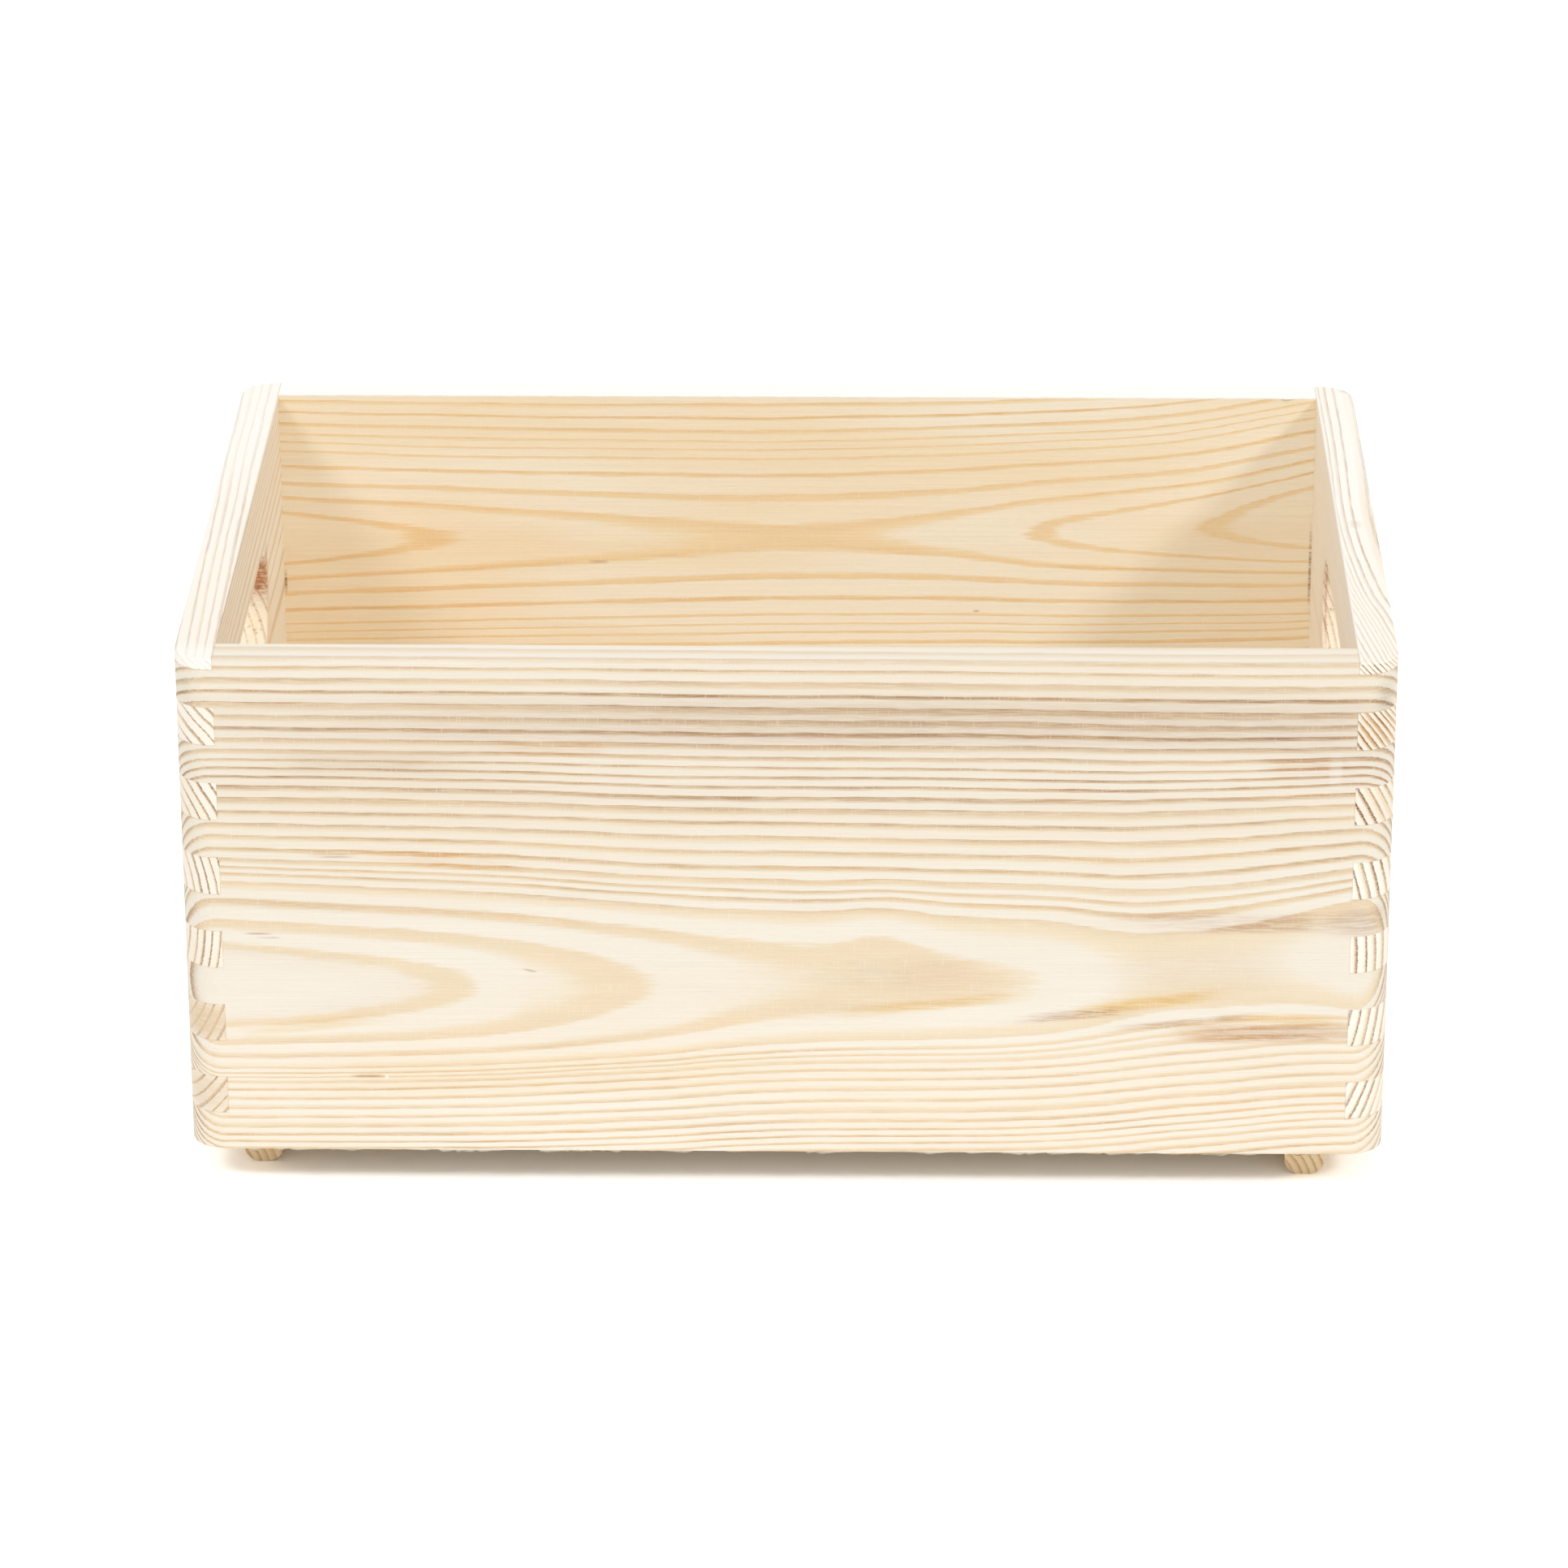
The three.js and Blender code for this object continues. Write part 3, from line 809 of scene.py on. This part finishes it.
def plywood():
    """Thin birch-faced plywood: flat rotary-cut figure, fine flecks and glue lines on its edges."""
    s = Shader("plywood")
    x, y, z = s.place()
    axes = (x, y, z)
    bands = s.math("PINGPONG", s.times(s.noise(PLY_SWEEP, axes), PLY_BANDS), 1.0)
    fine = s.noise(PLY_FINE, axes)
    flecks = s.span(s.noise(PLY_FLECKS, axes), *PLY_FLECK_SPAN)
    glue = s.span(s.math("PINGPONG", s.less(z, PLY_LOW), PLY_LAYER), *PLY_GLUE_SPAN)
    edge_on = s.math("GREATER_THAN", s.math("ABSOLUTE", x), PLY_EDGE)
    colour = s.blend(s.square(bands), PLY_LIGHT, PLY_DARK)
    colour = s.blend(s.times(flecks, PLY_FLECK_COVER), colour, PLY_FLECK)
    colour = s.blend(s.times(glue, edge_on, PLY_GLUE_COVER), colour, PLY_GLUE)
    colour = s.shade(colour, s.span(fine, *PLY_FINE_SHADES, smooth=False))
    scuffs = s.span(s.noise(PLY_SCUFFS, axes), *PLY_SCUFF_SHADES, smooth=False)
    colour = s.shade(colour, scuffs)
    s.relief(s.add(s.times(fine, 0.7), s.times(bands, 0.15), s.times(flecks, -0.5)), PLY_RELIEF)
    return s.finish(colour, s.add(PLY_ROUGHNESS, s.times(fine, PLY_FINE_ROUGHNESS)))


# The staples' noises by x, y and z, and their colours.
WIRE_DRAWN = Grain((0.12, 1.6, 1.6), 2.0, detail=3.0, roughness=0.6)
WIRE_ZINC = Grain((0.9, 0.9, 0.9), 8.0, detail=3.0, roughness=0.6)
ZINC_LIGHT = tone(186, 190, 196)
ZINC_DULL = tone(150, 154, 160)
STEEL_BARE = tone(216, 219, 222)
WIRE_WORN_RADIUS = 0.25
ZINC_SPAN = (0.4, 0.6)
WORN_ZINC_COVER = 0.6
DRAWN_SHADES = (0.25, 0.75, 0.90, 1.06)
ZINC_ROUGHNESS = (0.35, 0.65, 0.30, 0.48)
WIRE_RELIEF = 0.02
WIRE_SPECULAR = 0.5


def staple_steel():
    """Galvanised wire: cool grey, drawn lengthwise, with dull zinc patches and bare worn edges."""
    s = Shader("staple_steel")
    axes = s.place()
    drawn = s.noise(WIRE_DRAWN, axes)
    zinc = s.noise(WIRE_ZINC, axes)
    wear = s.worn_edge(WIRE_WORN_RADIUS)
    colour = s.blend(s.span(zinc, *ZINC_SPAN), ZINC_LIGHT, ZINC_DULL)
    colour = s.blend(s.times(wear, WORN_ZINC_COVER), colour, STEEL_BARE)
    colour = s.shade(colour, s.span(drawn, *DRAWN_SHADES, smooth=False))
    s.surface.inputs["Metallic"].default_value = 1.0
    s.relief(s.add(s.times(drawn, 0.7), s.times(zinc, 0.3)), WIRE_RELIEF)
    return s.finish(colour, s.span(zinc, *ZINC_ROUGHNESS), WIRE_SPECULAR)


# ---------------------------------------------------------------------------------------------
# Pieces.


def clean_copy(node):
    """A bmesh of a CAD node with its doubled points welded and its flat facets joined."""
    shape = bmesh.new()
    shape.from_mesh(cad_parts[node].data)
    bmesh.ops.remove_doubles(shape, verts=shape.verts, dist=WELD_DISTANCE)
    bmesh.ops.dissolve_limit(shape, angle_limit=FLAT_ANGLE, verts=shape.verts, edges=shape.edges)
    return shape


def ease_edges(shape, width_of):
    """Weights every sharp edge for the Bevel modifier: width_of(middle, edge) gives its width."""
    weights = shape.edges.layers.float.new("bevel_weight_edge")
    for edge in shape.edges:
        if len(edge.link_faces) == 2 and edge.calc_face_angle() > SHARP_ANGLE:
            middle = (edge.verts[0].co + edge.verts[1].co) / 2
            edge[weights] = width_of(middle, edge) / WIDEST_EASE


def add_fibre(shape, start, end, peak, root, breadth):
    """A torn fibre: a closed three-sided sliver, rooted in the wood, whose end stands off by peak."""
    rings = []
    for step in range(FIBRE_STEPS + 1):
        share = step / FIBRE_STEPS
        stand = share ** FIBRE_BEND if step < FIBRE_STEPS else FIBRE_TIP_STAND
        taper = breadth * max(math.sin(math.pi * share) ** 0.5, FIBRE_TIP_BREADTH)
        middle = start.lerp(end, share)
        corners = (middle + peak * stand, middle + root - taper, middle + root + taper)
        rings.append([shape.verts.new(corner) for corner in corners])
    for one, two in zip(rings, rings[1:]):
        for (a, b), (c, d) in zip(zip(one, one[1:] + one[:1]), zip(two, two[1:] + two[:1])):
            shape.faces.new((a, b, d, c))
    shape.faces.new(reversed(rings[0]))
    shape.faces.new(rings[-1])


def fray_lower_edge(shape, outer_y, count, chance):
    """Torn fibres left by the saw along the lower outer edge of a long wall."""
    inward = -math.copysign(1, outer_y)
    for _ in range(count):
        middle = chance.uniform(-FRAY_REACH, FRAY_REACH)
        half = chance.uniform(*FRAY_LENGTH) / 2 * chance.choice((-1, 1))
        y = outer_y + inward * chance.uniform(*FRAY_INSET) * MM
        start = Vector((middle - half, y, WALL_LOW.z + FRAY_START))
        end = Vector((middle + half, y, WALL_LOW.z + FRAY_START))
        peak = Vector((0, -inward * FRAY_STAND, -chance.uniform(*FRAY_DROP)))
        add_fibre(shape, start, end, peak, FRAY_ROOT, FRAY_BREADTH)


def fray_hand_hole(shape, side, chance):
    """Short torn fibres on the end grain at both ends of a hand hole."""
    for _ in range(HOLE_FIBRES):
        way = chance.choice((-1, 1))
        rise = chance.uniform(-HOLE_FIBRE_HEIGHTS, HOLE_FIBRE_HEIGHTS) * HOLE_RADIUS
        end_y = HOLE_HALF_STRAIGHT + math.sqrt(HOLE_RADIUS ** 2 - rise ** 2)
        x = side * (INNER_X + chance.uniform(*HOLE_FIBRE_DEPTHS) * (OUTER_X - INNER_X))
        out = chance.uniform(*HOLE_FIBRE)
        z = HOLE_CENTRE + rise
        start = Vector((x, way * (end_y + HOLE_FIBRE_START), z))
        end = Vector((x, way * (end_y - out), z + chance.uniform(*HOLE_FIBRE_TILT) * MM))
        breadth, twist = chance.uniform(*HOLE_FIBRE_BREADTH), chance.uniform(*HOLE_FIBRE_TWIST)
        across = Vector((breadth * MM, 0, twist * MM))
        add_fibre(shape, start, end, HOLE_FIBRE_PEAK, HOLE_FIBRE_ROOT, across)


def add_piece(name, shape, material, slot, *replaced):
    """Turns a bmesh into a piece that stands for the given CAD nodes."""
    mesh = bpy.data.meshes.new(name)
    shape.to_mesh(mesh)
    shape.free()
    piece = bpy.data.objects.new(name, mesh)
    bpy.context.scene.collection.objects.link(piece)
    mesh.materials.append(material)
    for face in mesh.polygons:
        face.use_smooth = True
    bevel = piece.modifiers.new("eased edges", "BEVEL")
    bevel.limit_method = "WEIGHT"
    bevel.width = WIDEST_EASE
    bevel.segments = EASE_SEGMENTS
    bevel.miter_outer = "MITER_SHARP"
    normals = piece.modifiers.new("flat faces stay flat", "WEIGHTED_NORMAL")
    normals.keep_sharp = True
    normals.weight = NORMAL_WEIGHT
    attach(piece, "root")
    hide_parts(*replaced)


# Sides of the walls, from the CAD, and how near counts as being on one.
WALL_LOW, WALL_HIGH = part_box("front_wall")
OUTER_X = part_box("right_end_wall")[1].x
OUTER_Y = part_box("rear_wall")[1].y
INNER_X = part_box("right_end_wall")[0].x
INNER_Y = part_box("front_wall")[1].y
NEAR = 0.05 * MM


def long_wall(node, material, outer_y, frays, chance):
    """The front or rear wall: eased rims, nearly square finger joints and a frayed lower edge."""
    def width(middle, edge):
        return JOINT_EASE if abs(middle.x) > INNER_X - NEAR else RIM_EASE

    shape = clean_copy(node)
    ease_edges(shape, width)
    fray_lower_edge(shape, outer_y, frays, chance)
    if outer_y > 0:
        add_fibre(shape, *RIM_SPLINTER)
    add_piece(node + "_pine", shape, material, "pine_board", node)


def end_wall(node, material, side, chance):
    """The left or right end wall with its hand hole."""
    top = WALL_HIGH.z - NEAR

    def width(middle, edge):
        if abs(middle.y) > abs(INNER_Y) - NEAR and middle.z < top:
            return JOINT_EASE
        in_hole = abs(middle.z - HOLE_CENTRE) < HOLE_RADIUS + NEAR
        return HAND_HOLE_EASE if in_hole else RIM_EASE

    shape = clean_copy(node)
    ease_edges(shape, width)
    fray_hand_hole(shape, side, chance)
    add_piece(node + "_pine", shape, material, "pine_board", node)


def rail(node, material, planed=False):
    """A rail on edge, with its edges eased and, where planed, its front right corner taken off."""
    low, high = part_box(node)

    def width(middle, edge):
        upright = abs((edge.verts[0].co - edge.verts[1].co).z) > RAIL_UPRIGHT
        at_front = middle.y < low.y + NEAR
        on_right = abs(middle.x - high.x) < NEAR
        return RAIL_CHAMFER if planed and upright and at_front and on_right else RIM_EASE

    shape = clean_copy(node)
    ease_edges(shape, width)
    add_piece(node + "_pine", shape, material, "pine_rail", node)


def dress_panel(material):
    """The plywood bottom keeps its CAD shape."""
    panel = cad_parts["bottom_panel"]
    panel.data.materials.clear()
    panel.data.materials.append(material)


def dress_staples(material):
    """The wire staples keep their CAD shape, with the wire's corners rounded."""
    for name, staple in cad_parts.items():
        if "staple" not in name:
            continue
        staple.data.materials.clear()
        staple.data.materials.append(material)
        staple.modifiers.new("welded", "WELD").merge_threshold = WELD_DISTANCE
        rounding = staple.modifiers.new("rounded wire", "BEVEL")
        rounding.limit_method = "ANGLE"
        rounding.width = WIRE_EASE
        rounding.segments = WIRE_SEGMENTS


def build_crate():
    """Every board, the panel and the staples, in a fixed order of random draws."""
    chance = random.Random(CHANCE_SEED)
    long_wall("front_wall", pine("front_wall_pine", FRONT_WALL), -OUTER_Y, FRONT_FRAYS, chance)
    long_wall("rear_wall", pine("rear_wall_pine", REAR_WALL), OUTER_Y, REAR_FRAYS, chance)
    end_wall("left_end_wall", pine("left_end_wall_pine", LEFT_END_WALL), -1, chance)
    end_wall("right_end_wall", pine("right_end_wall_pine", RIGHT_END_WALL), 1, chance)
    rail("left_rail", pine("left_rail_pine", rail_board(LEFT_RAIL_X, seed=53.0)))
    rail("right_rail", pine("right_rail_pine", rail_board(RIGHT_RAIL_X, seed=67.0)), planed=True)
    dress_panel(plywood())
    dress_staples(staple_steel())


# ---------------------------------------------------------------------------------------------
# Studio.


def make_camera():
    """A camera that looks ahead and down, turned left by its yaw and rolled about its axis."""
    tilt, yaw, roll = (math.radians(angle) for angle in (CAMERA_TILT, CAMERA_YAW, CAMERA_ROLL))
    flat = math.cos(tilt)
    ahead = Vector((-math.sin(yaw) * flat, math.cos(yaw) * flat, -math.sin(tilt)))
    level = Vector((math.cos(yaw), math.sin(yaw), 0))
    upright = level.cross(ahead)
    right = math.cos(roll) * level + math.sin(roll) * upright
    up = -math.sin(roll) * level + math.cos(roll) * upright
    data = bpy.data.cameras.new("camera")
    data.sensor_width = SENSOR_WIDTH
    data.lens = CAMERA_LENS
    data.clip_start, data.clip_end = CAMERA_CLIP
    camera = bpy.data.objects.new("camera", data)
    turn = Matrix((right, up, -ahead)).transposed().to_4x4()
    camera.matrix_world = Matrix.Translation(CAMERA_PLACE) @ turn
    bpy.context.scene.collection.objects.link(camera)
    bpy.context.scene.camera = camera


def make_sun(name, comes_from, strength, softness):
    """A far lamp shining from the given direction."""
    data = bpy.data.lights.new(name, "SUN")
    data.energy = strength
    data.angle = math.radians(softness)
    lamp = bpy.data.objects.new(name, data)
    lamp.rotation_euler = Vector(comes_from).to_track_quat("Z", "Y").to_euler()
    bpy.context.scene.collection.objects.link(lamp)


def make_floor():
    """A plain white floor, which the camera sees brighter than it lights the crate."""
    s = Shader("floor_white")
    seen = s.node("ShaderNodeLightPath").outputs["Is Camera Ray"]
    paper = s.node("ShaderNodeBsdfDiffuse")
    s.put(paper.inputs["Color"], s.shade(FLOOR_WHITE, s.blend_number(seen, 1.0, FLOOR_GLARE)))
    s.tree.links.new(paper.outputs[0], s.tree.nodes["Material Output"].inputs["Surface"])
    s.tree.nodes.remove(s.surface)
    half = FLOOR_SIZE / 2
    corners = [(-half, -half, 0), (half, -half, 0), (half, half, 0), (-half, half, 0)]
    mesh = bpy.data.meshes.new("floor")
    mesh.from_pydata(corners, [], [(0, 1, 2, 3)])
    mesh.materials.append(s.material)
    floor = bpy.data.objects.new("floor", mesh)
    bpy.context.scene.collection.objects.link(floor)


def make_studio():
    """White surroundings, two soft suns and the floor."""
    world = bpy.data.worlds.new("studio")
    world.use_nodes = True
    background = world.node_tree.nodes["Background"]
    background.inputs["Color"].default_value = (1, 1, 1, 1)
    background.inputs["Strength"].default_value = SKY_STRENGTH
    bpy.context.scene.world = world
    bpy.context.scene.view_settings.view_transform = "Standard"
    make_sun("key", KEY_FROM, KEY_STRENGTH, KEY_SOFTNESS)
    make_sun("fill", FILL_FROM, FILL_STRENGTH, FILL_SOFTNESS)
    make_floor()


make_camera()
make_studio()
build_crate()
